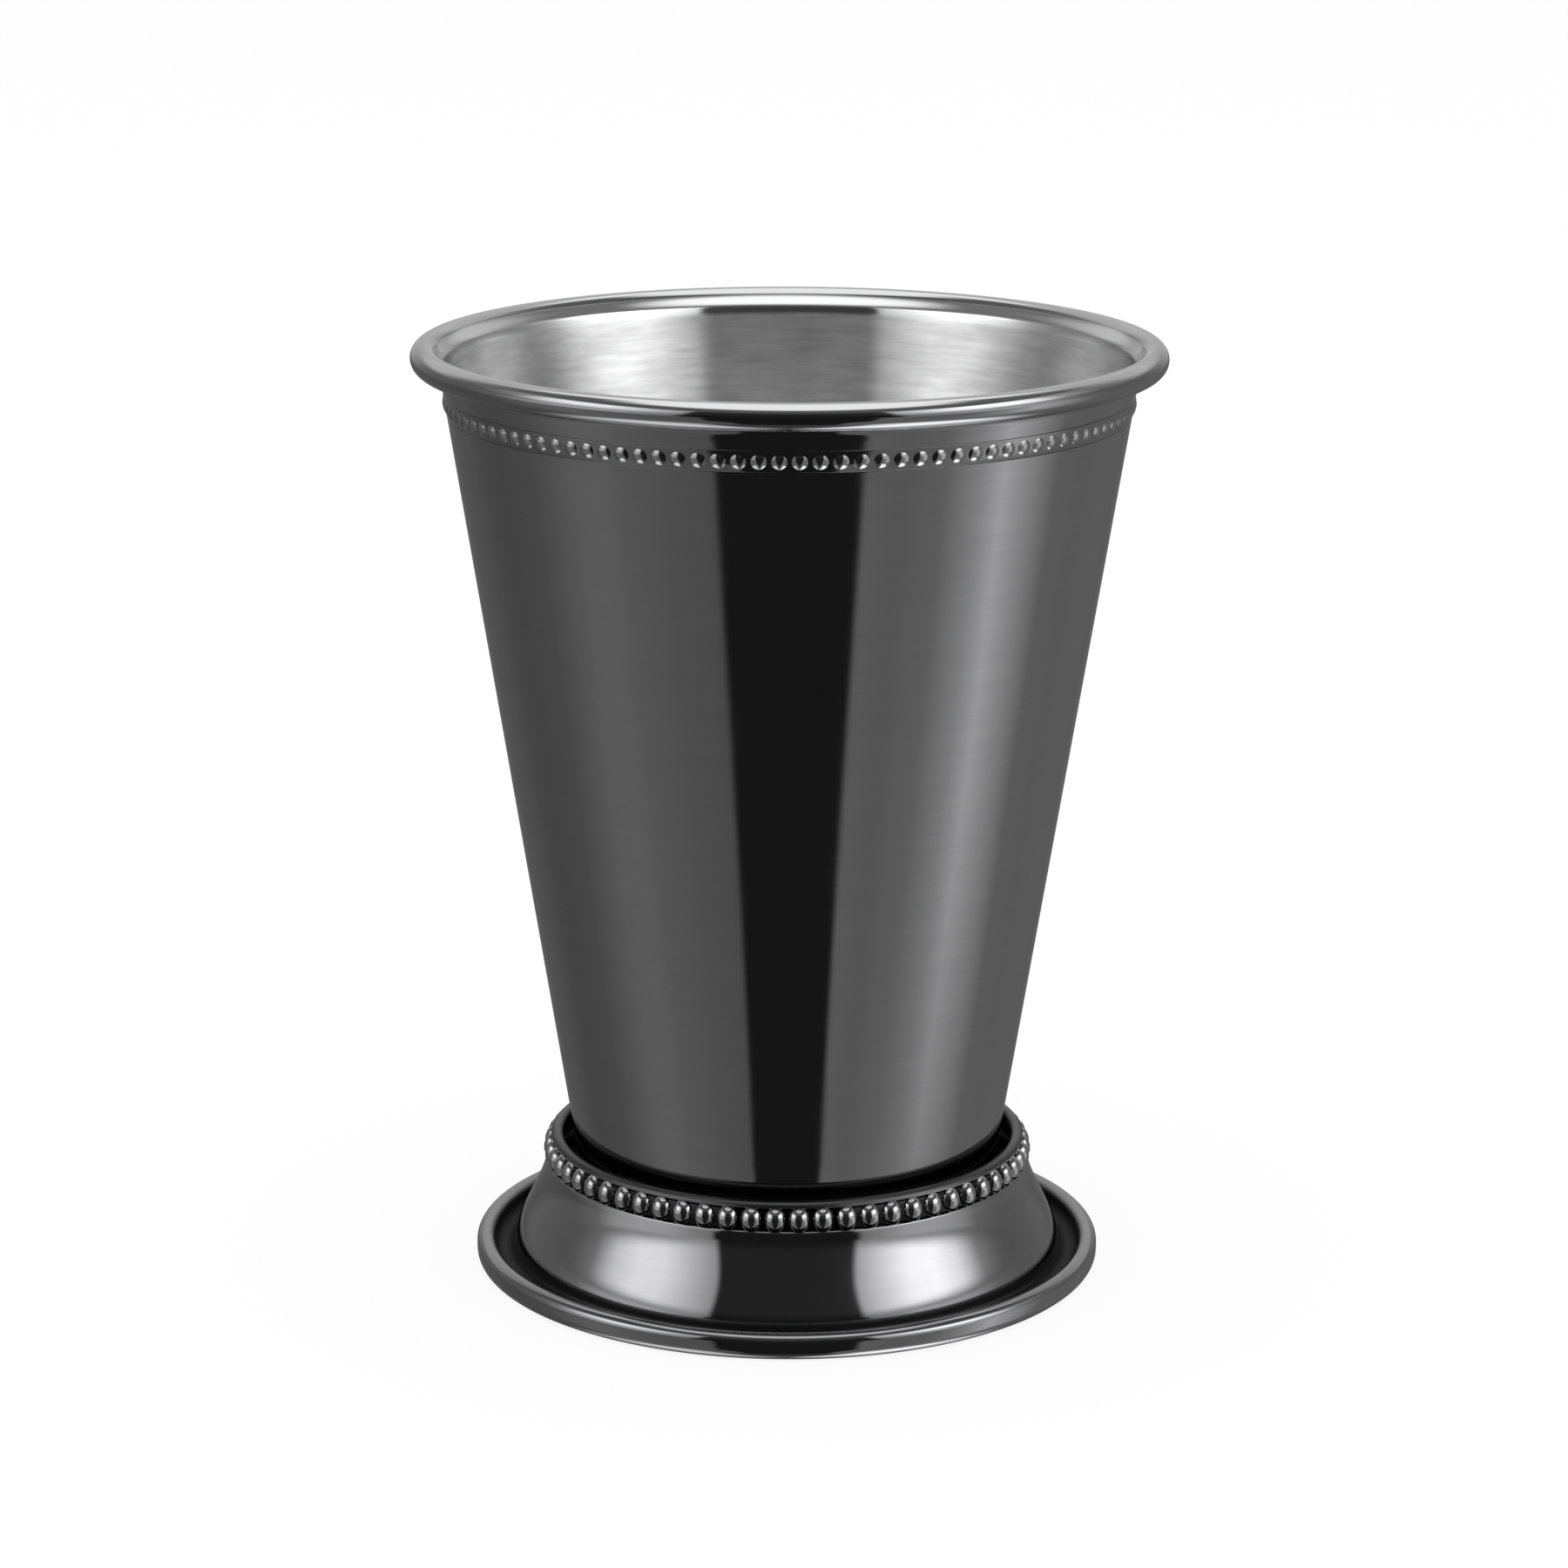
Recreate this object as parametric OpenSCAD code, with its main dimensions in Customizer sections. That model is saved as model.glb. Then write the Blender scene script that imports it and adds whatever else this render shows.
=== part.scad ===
// Julep cup: a tapered metal cup on a spun foot, with a beaded border under its rolled rim and another round
// the foot's collar. Millimetres, +Z up, origin on the table under the middle of the foot.
// Each sheet piece is a section turned round Z. A section is a path along one face of the sheet, thickened.

/* [Cup] */
// Height from the table to the top of the rolled rim
overall_h = 111.75; // [100:0.25:125]
// Outside diameter of the rolled rim
rim_od = 88; // [84:0.5:92]
// Width of the rim, from the mouth's edge to the outside of the roll
rim_flare_w = 4.46; // [4:0.01:5]
// Height of the rim and the upright neck below it, down to where the wall starts to taper
neck_h = 4.45; // [4.2:0.05:4.7]
// Outside diameter of the cup at its bottom
base_od = 49.4; // [44:0.2:52]
// Height of the cup's underside above the table
base_h = 9.5; // [9:0.1:10.5]
// Thickness of the cup's sheet
cup_sheet = 0.9; // [0.8:0.05:1]
// Radius of the cup's bottom corner, outside
cup_corner_r = 3; // [2:0.5:5]
// Thickness of the roll at the rim, top to bottom
rim_roll_d = 3.2; // [2.8:0.1:3.4]

/* [Beads under the rim] */
// Distance from the top of the rim down to the middle of the bead row
rim_bead_drop = 6.95; // [6.45:0.05:9]
// Height of the groove that holds the bead row
rim_groove_w = 2.5; // [2.3:0.1:3]
// Depth of that groove in the cup's wall
rim_groove_d = 0.5; // [0.3:0.05:0.6]
// Thickness of the strip that carries the beads
rim_strip_t = 0.2; // [0.15:0.05:0.3]
// Width of one bead where it leaves the strip
rim_bead_w = 1.95; // [1.6:0.05:2]
// How far a bead stands out from the strip
rim_bead_relief = 0.5; // [0.3:0.05:0.7]
// Number of beads in the row
rim_bead_count = 112; // [80:1:115]

/* [Foot] */
// Outside diameter of the foot's hem
foot_od = 75.2; // [73:0.2:80]
// Height from the table to the collar's lip
foot_h = 16; // [15.6:0.1:17]
// Gap between the cup's wall and the collar's lip
lip_gap_w = 1.93; // [1.4:0.01:2.2]
// Thickness of the foot's sheet
foot_sheet = 0.7; // [0.6:0.05:0.8]
// How far the collar widens for each unit that it goes down
collar_slope_share = 0.2; // [0.1:0.02:0.26]
// Width of the valley between the flare and the hem
valley_w = 2.4; // [1.9:0.1:2.9]
// Width of the rolled hem
hem_w = 2.2; // [2:0.1:2.4]
// Height of the rolled hem
hem_h = 3.2; // [2.8:0.1:4]
// Height of the valley's lowest line, on top
valley_h = 1; // [0.8:0.1:1.4]

/* [Beads round the collar] */
// Distance from the lip down to the middle of the bead row
foot_bead_drop = 2.05; // [1.9:0.05:2.3]
// Height of the groove that holds the bead row
foot_groove_w = 3; // [2.8:0.1:3.2]
// Depth of that groove, pressed into the collar
foot_groove_d = 0.6; // [0.4:0.05:0.7]
// Thickness of the strip that carries the beads
foot_strip_t = 0.25; // [0.2:0.05:0.3]
// Width of one bead where it leaves the strip
foot_bead_w = 2.45; // [2:0.05:2.5]
// How far a bead stands out from the strip
foot_bead_relief = 0.7; // [0.4:0.05:0.9]
// Number of beads in the row
foot_bead_count = 64; // [44:1:64]

/* [Seat plate] */
// Thickness of the plate that the cup's bottom sits on
plate_sheet = 0.8; // [0.6:0.05:1]
// How far the plate's skirt follows the flare, as a share of it
skirt_share = 0.5; // [0.4:0.01:0.6]

/* [Hidden] */

// Gap left for the braze between pieces that nest
braze_gap = 0.05;
// Extra length that carries a cut past the metal it leaves
overrun = 1;
// Flat width of the hem's edge on the table
hem_edge_w = 0.7;
// Radius where the hem turns in under itself
hem_turn_r = 0.8;
// Height of the ramp at each end of the collar's groove
groove_ramp = 0.3;
// Segments in a quarter turn of a bend, and in one sweep of a curve
bend_steps = 6;
curve_steps = 10;
// Sides of a bead, and of the strip under each bead
bead_sides = 24;
strip_sides = 4;
// Angle of a bead's sector of strip, as a share of the bead's step, so that the sectors lap and join
sector_lap_share = 1.02;

// Angles on the rim's roll where the neck runs into it and where the curl ends
roll_start = 150;
roll_end = -120;
// How hard the two ends of the neck's bend pull on it, as a share of its height
bend_pull_share = 0.35;
// How hard the flare's two ends pull on its curve, as shares of its height
flare_top_pull_share = 0.36;
flare_base_pull_share = 0.24;
// Where along the flare the seat plate's skirt starts, as a share of it
skirt_start_share = 0.3;

// Path helpers. A path is a list of [radius, height] points.
function unit(v) = v / norm(v);
function right_of(v) = [v[1], -v[0]];
function heading(p, i) =
    i == 0 ? unit(p[1] - p[0])
    : i == len(p) - 1 ? unit(p[i] - p[i - 1])
    : unit(unit(p[i + 1] - p[i]) + unit(p[i] - p[i - 1]));
// Same path moved sideways, to the right of its direction of travel
function beside(p, d) = [for (i = [0 : len(p) - 1]) p[i] + d * right_of(heading(p, i))];
function reversed(p) = [for (i = [len(p) - 1 : -1 : 0]) p[i]];
function arc(c, r, from, to) =
    let (n = max(2, ceil(bend_steps * abs(to - from) / 90)))
    [for (i = [0 : n]) c + r * [cos(from + (to - from) * i / n), sin(from + (to - from) * i / n)]];
function curve_at(p, t) =
    pow(1 - t, 3) * p[0] + 3 * pow(1 - t, 2) * t * p[1] + 3 * (1 - t) * t * t * p[2] + pow(t, 3) * p[3];
function curve(p, from, to) = [for (i = [0 : curve_steps]) curve_at(p, from + (to - from) * i / curve_steps)];

// Turns a sheet whose one face is the path and whose other face lies at its right
module turned_sheet(path, t) {
    rotate_extrude()
        polygon(concat(path, reversed(beside(path, t))));
}

// Cup wall: its inner face runs straight from the bottom corner to the neck under the rim
rim_roll_r = rim_roll_d / 2;
roll_centre = [rim_od / 2 - rim_roll_r, overall_h - rim_roll_r];
wall_top = [rim_od / 2 - rim_flare_w, overall_h - neck_h];
wall_lean = atan((wall_top[0] - base_od / 2 + cup_sheet) / (wall_top[1] - base_h));
wall_up = [sin(wall_lean), cos(wall_lean)];
wall_out = right_of(wall_up);
// Distance from the axis of the wall's outer face at a height
function wall_r(z) = wall_top[0] + cup_sheet / cos(wall_lean) + (z - wall_top[1]) * tan(wall_lean);

// Neck, on the drink's side: it starts upright and bends out into the roll
roll_in = roll_centre + rim_roll_r * [cos(roll_start), sin(roll_start)];
neck_pull = bend_pull_share * (roll_in[1] - wall_top[1]);
neck = [
    wall_top,
    wall_top + [0, neck_pull],
    roll_in - neck_pull * [sin(roll_start), -cos(roll_start)],
    roll_in
];

// Bottom corner: an arc tangent to the floor and to the wall
corner_in_r = cup_corner_r - cup_sheet;
floor_h = base_h + cup_sheet;
corner_z = floor_h + corner_in_r;
corner_x = wall_r(corner_z) - (cup_sheet + corner_in_r) / cos(wall_lean);

cup_path = concat(
    [[0, floor_h]],
    arc([corner_x, corner_z], corner_in_r, -90, -wall_lean),
    curve(neck, 0, 1),
    [for (p = arc(roll_centre, rim_roll_r, roll_start, roll_end)) if (p != roll_in) p]
);

// Middle of the rim's bead row, on the wall's outer face
rim_bead_z = overall_h - rim_bead_drop;
rim_bead_at = [wall_r(rim_bead_z), rim_bead_z];

// Foot: collar, flare, valley and hem, along the face that shows
hem_r = hem_w / 2;
hem_x = foot_od / 2 - hem_r;
hem_top_z = hem_h - hem_r;
valley_r = valley_w / 2;
valley_x = hem_x - hem_r - valley_r;
valley_z = valley_h + valley_r;
collar_lean = atan(collar_slope_share);
collar_down = [sin(collar_lean), -cos(collar_lean)];
collar_in = [-cos(collar_lean), -sin(collar_lean)];
lip_at = [wall_r(foot_h) + lip_gap_w + foot_sheet / cos(collar_lean), foot_h];
foot_bead_at = lip_at + foot_bead_drop * collar_down;
// A place on the collar, so far along it from the middle of the bead row, and pressed in so deep
function on_collar(along, depth) = foot_bead_at + along * collar_down + depth * collar_in;

flare_top = on_collar(foot_groove_w / 2 + 2 * groove_ramp, 0);
flare_end = [valley_x - valley_r, valley_z];
flare_h = flare_top[1] - flare_end[1];
flare = [
    flare_top,
    flare_top + flare_top_pull_share * flare_h * collar_down,
    flare_end + [0, flare_base_pull_share * flare_h],
    flare_end
];

foot_path = concat(
    [lip_at, on_collar(-foot_groove_w / 2 - groove_ramp, 0), on_collar(-foot_groove_w / 2, foot_groove_d)],
    [on_collar(foot_groove_w / 2, foot_groove_d), on_collar(foot_groove_w / 2 + groove_ramp, 0)],
    curve(flare, 0, 1),
    [for (i = [1 : 2 * bend_steps]) arc([valley_x, valley_z], valley_r, 180, 360)[i]],
    arc([hem_x, hem_top_z], hem_r, 180, 0),
    arc([foot_od / 2 - hem_turn_r, hem_turn_r], hem_turn_r, 0, -90),
    [[foot_od / 2 - hem_turn_r - hem_edge_w, 0]]
);

// One bead: a round cap that stands on a strip's face and is rooted halfway into the strip
module bead(width, relief, root) {
    ball_r = (width * width / 4 + relief * relief) / (2 * relief);
    rotate_extrude($fn = bead_sides)
        intersection() {
            translate([0, relief - ball_r])
                circle(r = ball_r, $fn = bead_sides);
            translate([0, -root])
                square([ball_r, relief + root]);
        }
}

// A row of beads on a thin strip that lies against a leaning face, one sector of strip for each bead
module bead_band(at, lean, strip_w, strip_t, bead_w, relief, count) {
    half = [sin(lean), cos(lean)] * strip_w / 2;
    out = [cos(lean), -sin(lean)];
    face = at + out * strip_t;
    step = 360 / count;
    for (i = [0 : count - 1])
        rotate([0, 0, i * step])
            union() {
                rotate_extrude(angle = step * sector_lap_share, $fn = strip_sides * count)
                    polygon([at - half, face - half, face + half, at + half]);
                rotate([0, 0, step / 2])
                    translate([face[0], 0, face[1]])
                        rotate([0, 90 + lean, 0])
                            bead(bead_w, relief, strip_t / 2);
            }
}

module cup_shell() {
    half = wall_up * rim_groove_w / 2;
    color("silver")
        difference() {
            turned_sheet(cup_path, cup_sheet);
            rotate_extrude()
                polygon([
                    rim_bead_at - half - wall_out * rim_groove_d,
                    rim_bead_at + half - wall_out * rim_groove_d,
                    rim_bead_at + half + wall_out * overrun,
                    rim_bead_at - half + wall_out * overrun
                ]);
        }
}

module rim_bead_band() {
    color("dimgray")
        bead_band(rim_bead_at - wall_out * (rim_groove_d - braze_gap), wall_lean,
            rim_groove_w - 2 * braze_gap, rim_strip_t, rim_bead_w, rim_bead_relief, rim_bead_count);
}

module foot_shell() {
    color([0.25, 0.25, 0.26])
        turned_sheet(foot_path, foot_sheet);
}

module foot_bead_band() {
    color("dimgray")
        bead_band(on_collar(0, foot_groove_d - braze_gap), -collar_lean,
            foot_groove_w - 2 * braze_gap, foot_strip_t, foot_bead_w, foot_bead_relief, foot_bead_count);
}

module seat_plate() {
    // The skirt's face against the flare, and the bend from there to the flat that carries the cup
    skirt = beside(curve(flare, skirt_start_share, skirt_share), foot_sheet + braze_gap);
    skirt_out = -right_of(heading(skirt, 0));
    bend_r = (base_h - skirt[0][1]) / (1 - skirt_out[1]);
    bend_c = skirt[0] - bend_r * skirt_out;
    bend = arc(bend_c, bend_r, 90, atan2(skirt_out[1], skirt_out[0]));
    color("darkgray")
        turned_sheet(concat([[0, base_h]], bend, [for (i = [1 : curve_steps]) skirt[i]]), plate_sheet);
}

cup_shell();
rim_bead_band();
foot_shell();
foot_bead_band();
seat_plate();
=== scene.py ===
# %% [markdown]
# A julep cup is a tapered metal drinking cup. This one stands on a flared foot and wears two rows of beads.
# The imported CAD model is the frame: its pieces say where everything goes.
# Four of the five CAD pieces get a finer twin here, turned from the same measures. All five get a finish
# that looks like metal.

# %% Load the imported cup
import math

import bmesh
import bpy
from mathutils import Matrix, Vector


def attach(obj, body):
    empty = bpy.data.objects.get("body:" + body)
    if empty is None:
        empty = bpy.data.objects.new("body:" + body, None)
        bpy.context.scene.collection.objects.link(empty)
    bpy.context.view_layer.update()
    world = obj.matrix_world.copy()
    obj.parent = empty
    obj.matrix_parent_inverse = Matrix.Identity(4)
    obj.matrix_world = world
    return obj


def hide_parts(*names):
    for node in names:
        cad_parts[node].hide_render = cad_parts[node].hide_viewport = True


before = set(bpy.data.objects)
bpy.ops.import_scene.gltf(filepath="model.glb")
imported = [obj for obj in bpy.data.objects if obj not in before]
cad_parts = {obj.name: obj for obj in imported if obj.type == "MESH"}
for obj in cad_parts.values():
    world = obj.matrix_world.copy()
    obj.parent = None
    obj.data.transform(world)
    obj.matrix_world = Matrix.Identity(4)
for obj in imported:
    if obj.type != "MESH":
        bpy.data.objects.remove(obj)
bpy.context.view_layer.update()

# %% [markdown]
# All measures are in metres. Nearly all are the ones that the CAD source uses, so the twins lie on its
# surfaces. The rim is 88 mm across and the cup is 111.75 mm high.

# %% Measures of the cup
MM = 0.001
HEIGHT = 111.75 * MM
RIM_RADIUS = 44 * MM
MOUTH_RADIUS = 39.54 * MM
NECK_HEIGHT = 4.45 * MM
NECK_PULL_SHARE = 0.35
BASE_RADIUS = 24.7 * MM
BASE_HEIGHT = 9.5 * MM
CUP_SHEET = 0.9 * MM
CORNER_INSIDE = 2.1 * MM
ROLL_RADIUS = 1.6 * MM
ROLL_CENTRE = Vector((RIM_RADIUS - ROLL_RADIUS, HEIGHT - ROLL_RADIUS))
ROLL_START = 150
ROLL_END = -120
MOUTH_RISE = 2.3 * MM
print("rim is", round(2 * RIM_RADIUS / MM, 2), "mm across")

# %% [markdown]
# The foot is spun from thinner sheet than the cup. Its collar leans out a little, by one part in five.

# %% Measures of the foot
FOOT_RADIUS = 37.6 * MM
FOOT_HEIGHT = 16 * MM
FOOT_SHEET = 0.7 * MM
COLLAR_RADIUS = 28.4 * MM
COLLAR_SLOPE = 0.2
COLLAR_BEND = 0.2 * MM
LIP_ROLL = 0.7 * MM
FLARE_DROP = 2.1 * MM
FLARE_RADIUS = 33 * MM
FLARE_TOP_PULL = 0.36
FLARE_END_PULL = 0.24
VALLEY_HEIGHT = 1 * MM
HEM_RADIUS = 1.1 * MM
HEM_HEIGHT = 3.2 * MM
HEM_TURN = 1.3 * MM
HEM_EDGE = 0.3 * MM
print("foot is", round(2 * FOOT_RADIUS / MM, 2), "mm across")

# %% [markdown]
# Each bead row is a strip in a groove. The beads under the rim are small and low, and stand a little apart.
# The beads on the foot are fuller, and longer than they are wide. Crown power says how a bead is shaped:
# at 1 it is a half ball, and at 2 it is a flatter cap with a shallow edge.

# %% Measures of the bead rows
SOLDER_GAP = 0.05 * MM
EDGE_ROUND = 0.03 * MM
RIM_BEAD_HEIGHT = HEIGHT - 6.95 * MM
RIM_GROOVE_WIDTH = 2.5 * MM
RIM_GROOVE_DEPTH = 0.5 * MM
RIM_STRIP = 0.45 * MM
RIM_BEAD_SHAPE = {
    "Beads": 112,
    "Bead Width": 1.8 * MM,
    "Bead Length": 1.7 * MM,
    "Bead Relief": 0.28 * MM,
    "Crown Power": 2.0,
}
FOOT_BEAD_DROP = 2.05 * MM
FOOT_GROOVE_WIDTH = 2.4 * MM
FOOT_GROOVE_DEPTH = 0.6 * MM
FOOT_GROOVE_RAMP = 0.15 * MM
FOOT_STRIP = 0.25 * MM
FOOT_BEAD_SHAPE = {
    "Beads": 64,
    "Bead Width": 2.55 * MM,
    "Bead Length": 3.1 * MM,
    "Bead Relief": 0.9 * MM,
    "Crown Power": 1.1,
}
print("beads:", RIM_BEAD_SHAPE["Beads"], "under the rim and", FOOT_BEAD_SHAPE["Beads"], "on the foot")

# %% [markdown]
# A curve is made of short straight steps. These counts say how many steps each curve gets. A polished curve
# needs many, because a mirror shows every flat facet.

# %% Steps of the curves
ROUND_SIDES = 240
BASE_STEPS = 8
TAPER_STEPS = 12
SOFT_STEPS = 5
NECK_STEPS = 12
MOUTH_STEPS = 8
ROLL_STEPS = 40
LIP_STEPS = 18
FLARE_STEPS = 28
VALLEY_STEPS = 16
HEM_STEPS = 20
HEM_TURN_STEPS = 8
print("every piece has", ROUND_SIDES, "sides round its axis")

# %% [markdown]
# Turned sheet metal is easiest to think of as a line drawn in section: distance from the axis, then
# height. These helpers draw arcs and smooth bends in that section, and move a line sideways by the sheet's
# thickness.

# %% Helpers that draw a section
def arc(centre, radius, start, end, steps):
    """Points along an arc, with its angles in degrees."""
    turns = [math.radians(start + (end - start) * i / steps) for i in range(steps + 1)]
    return [centre + radius * Vector((math.cos(t), math.sin(t))) for t in turns]


def bend(a, b, c, d, steps):
    """Points along a smooth bend from a to d that b and c pull into shape."""
    points = []
    for i in range(steps + 1):
        t = i / steps
        s = 1 - t
        points.append(s**3 * a + 3 * s * s * t * b + 3 * s * t * t * c + t**3 * d)
    return points


def heading(line, i):
    """Direction of travel at one point of a line."""
    before = (line[i] - line[i - 1]).normalized() if i > 0 else Vector((0, 0))
    after = (line[i + 1] - line[i]).normalized() if i < len(line) - 1 else Vector((0, 0))
    return (before + after).normalized()


def beside(line, distance):
    """The same line moved to the right of its direction of travel."""
    moved = []
    for i, point in enumerate(line):
        way = heading(line, i)
        moved.append(point + distance * Vector((way.y, -way.x)))
    return moved


def rounded(line, radius, steps=4, most=0.45):
    """The same line with its corners rounded, each by at most a share of the sides that meet there."""
    points = [line[0]]
    for before, corner, after in zip(line, line[1:], line[2:]):
        reach = min(radius, (corner - before).length * most, (after - corner).length * most)
        start = corner + (before - corner).normalized() * reach
        end = corner + (after - corner).normalized() * reach
        for i in range(steps + 1):
            t = i / steps
            points.append(start * (1 - t) ** 2 + corner * 2 * t * (1 - t) + end * t * t)
    return points + [line[-1]]


# %% [markdown]
# The shapes and the finishes both come from node trees. A node tree is sums on places, written as boxes and
# links. These helpers add a box, fill its inlets with numbers or links, and hand back the outlet that is
# wanted.

# %% A small box of tools for node trees
def value_or_link(tree, socket, value):
    """Sets a socket to a value, or links it where the value comes from another node."""
    if isinstance(value, bpy.types.NodeSocket):
        tree.links.new(value, socket)
    else:
        socket.default_value = value


def put(tree, kind, outlet=0, settings=None, **inlets):
    """Adds a node, fills its inlets by number or name, and returns the outlet asked for."""
    node = tree.nodes.new(kind)
    for key, value in (settings or {}).items():
        setattr(node, key, value)
    for key, value in inlets.items():
        place = int(key[1:]) if key[1:].isdigit() else key.replace("_", " ")
        value_or_link(tree, node.inputs[place], value)
    return node.outputs[outlet]


def sums(tree, kind, *values):
    """One Math node: its kind, then its numbers or links."""
    node = tree.nodes.new("ShaderNodeMath")
    node.operation = kind
    for socket, value in zip(node.inputs, values):
        value_or_link(tree, socket, value)
    return node.outputs[0]


def new_tree(name, kind, inlets, outlets):
    """An empty node group with named sockets, and its two end nodes."""
    tree = bpy.data.node_groups.new(name, kind)
    for label, socket_kind in inlets:
        tree.interface.new_socket(label, in_out="INPUT", socket_type=socket_kind)
    for label, socket_kind in outlets:
        tree.interface.new_socket(label, in_out="OUTPUT", socket_type=socket_kind)
    return tree, tree.nodes.new("NodeGroupInput"), tree.nodes.new("NodeGroupOutput")


def use_group(tree, group, **inlets):
    """Adds a node group to a shader and returns all its outlets."""
    node = tree.nodes.new("ShaderNodeGroup")
    node.node_tree = group
    for key, value in inlets.items():
        value_or_link(tree, node.inputs[key.replace("_", " ")], value)
    return node.outputs


# %% [markdown]
# Round things need the same few sums again and again: the parts of a place, its distance from the axis, and
# the place at an angle round a circle.

# %% Helpers for round places
def parts(tree, place):
    """X, Y and Z of a place."""
    node = tree.nodes.new("ShaderNodeSeparateXYZ")
    tree.links.new(place, node.inputs[0])
    return node.outputs


def from_axis(tree, x, y):
    """Distance from the upright axis."""
    squares = sums(tree, "ADD", sums(tree, "MULTIPLY", x, x), sums(tree, "MULTIPLY", y, y))
    return sums(tree, "SQRT", squares)


def on_circle(tree, radius, height, angle):
    """The place at an angle round a circle of this radius, at this height."""
    return put(
        tree,
        "ShaderNodeCombineXYZ",
        X=sums(tree, "MULTIPLY", radius, sums(tree, "COSINE", angle)),
        Y=sums(tree, "MULTIPLY", radius, sums(tree, "SINE", angle)),
        Z=height,
    )


# %% [markdown]
# Every piece of this cup is round, so one rule makes them all: a section turned round the axis.
# Geometry Nodes can do that with a flat grid. One direction of the grid follows the section and the other
# goes round. Merging the doubles at the end closes the seam and the pole on the axis.
# A second material, the lining, covers the first rows of faces. On the cup these are the brushed inside.

# %% Grid of the lathe tree
lathe, given, made = new_tree(
    "lathe",
    "GeometryNodeTree",
    [
        ("Section", "NodeSocketObject"),
        ("Sides", "NodeSocketInt"),
        ("Lined Rows", "NodeSocketInt"),
        ("Metal", "NodeSocketMaterial"),
        ("Lining", "NodeSocketMaterial"),
    ],
    [("Geometry", "NodeSocketGeometry")],
)
sides = given.outputs["Sides"]
drawn = put(lathe, "GeometryNodeObjectInfo", "Geometry", i0=given.outputs["Section"])
point_count = put(lathe, "GeometryNodeAttributeDomainSize", "Point Count", i0=drawn)
columns = sums(lathe, "ADD", sides, 1)
rows = sums(lathe, "ADD", point_count, 1)
grid = put(lathe, "GeometryNodeMeshGrid", "Mesh", Vertices_X=rows, Vertices_Y=columns)
print("lathe tree starts with", len(lathe.nodes), "nodes")

# %% [markdown]
# Each point of the grid has a number, and the number gives its row and its column. The row picks a point of
# the section. The column says how far round the axis that point is turned.

# %% Places of the lathe's points
index = put(lathe, "GeometryNodeInputIndex")
middle_index = sums(lathe, "ADD", index, 0.5)
row = sums(lathe, "FLOOR", sums(lathe, "DIVIDE", middle_index, columns))
column = sums(lathe, "SUBTRACT", index, sums(lathe, "MULTIPLY", row, columns))
section_point = put(
    lathe,
    "GeometryNodeSampleIndex",
    "Value",
    settings={"data_type": "FLOAT_VECTOR", "domain": "POINT"},
    Geometry=drawn,
    Value=put(lathe, "GeometryNodeInputPosition"),
    Index=sums(lathe, "FLOORED_MODULO", row, point_count),
)
section_x, _, section_z = parts(lathe, section_point)
turn = sums(lathe, "MULTIPLY", sums(lathe, "DIVIDE", column, sides), math.tau)
turned_place = on_circle(lathe, section_x, section_z, turn)
print("lathe tree has", len(lathe.nodes), "nodes so far")

# %% [markdown]
# Faces are counted in the same way, and the first rows of them are marked as lined. Then the grid is bent
# into shape, its doubles are merged, and it gets its two materials.

# %% Shape and materials of the lathe
face_row = sums(lathe, "FLOOR", sums(lathe, "DIVIDE", middle_index, sides))
marked = put(
    lathe,
    "GeometryNodeStoreNamedAttribute",
    settings={"data_type": "BOOLEAN", "domain": "FACE"},
    Geometry=grid,
    Name="lined",
    Value=sums(lathe, "LESS_THAN", face_row, given.outputs["Lined Rows"]),
)
turned = put(lathe, "GeometryNodeSetPosition", Geometry=marked, Position=turned_place)
closed = put(lathe, "GeometryNodeMergeByDistance", Geometry=turned, Distance=0.001 * MM)
real = put(lathe, "GeometryNodeRealizeInstances", Geometry=closed)
coated = put(lathe, "GeometryNodeSetMaterial", Geometry=real, Material=given.outputs["Metal"])
lined = put(
    lathe,
    "GeometryNodeSetMaterial",
    Geometry=coated,
    Selection=put(
        lathe, "GeometryNodeInputNamedAttribute", settings={"data_type": "BOOLEAN"}, Name="lined"
    ),
    Material=given.outputs["Lining"],
)
lathe.links.new(lined, made.inputs[0])
print("lathe tree:", len(lathe.nodes), "nodes")


# %% [markdown]
# A section is drawn as loose points in an object of its own. The tree runs as a modifier on an empty mesh,
# and its result is copied into a plain mesh. Then the modifier and the section are deleted.
# Edges that bend more than the crease angle stay sharp, and all others are shaded smooth.

# %% Helpers that run a tree and keep its result
def section_object(name, line):
    """A section's points as an object, with distance from the axis along X and height along Z."""
    mesh = bpy.data.meshes.new(name)
    mesh.from_pydata([(p.x, 0, p.y) for p in line], [], [])
    drawn_section = bpy.data.objects.new(name, mesh)
    bpy.context.collection.objects.link(drawn_section)
    return drawn_section


def drop_empty_slots(mesh):
    """Takes out the material slots that hold nothing."""
    for slot_number in reversed(range(len(mesh.materials))):
        if mesh.materials[slot_number] is None:
            mesh.materials.pop(index=slot_number)


def face_out(mesh):
    """Turns every face's outside out."""
    work = bmesh.new()
    work.from_mesh(mesh)
    bmesh.ops.recalc_face_normals(work, faces=work.faces)
    work.to_mesh(mesh)
    work.free()


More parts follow.
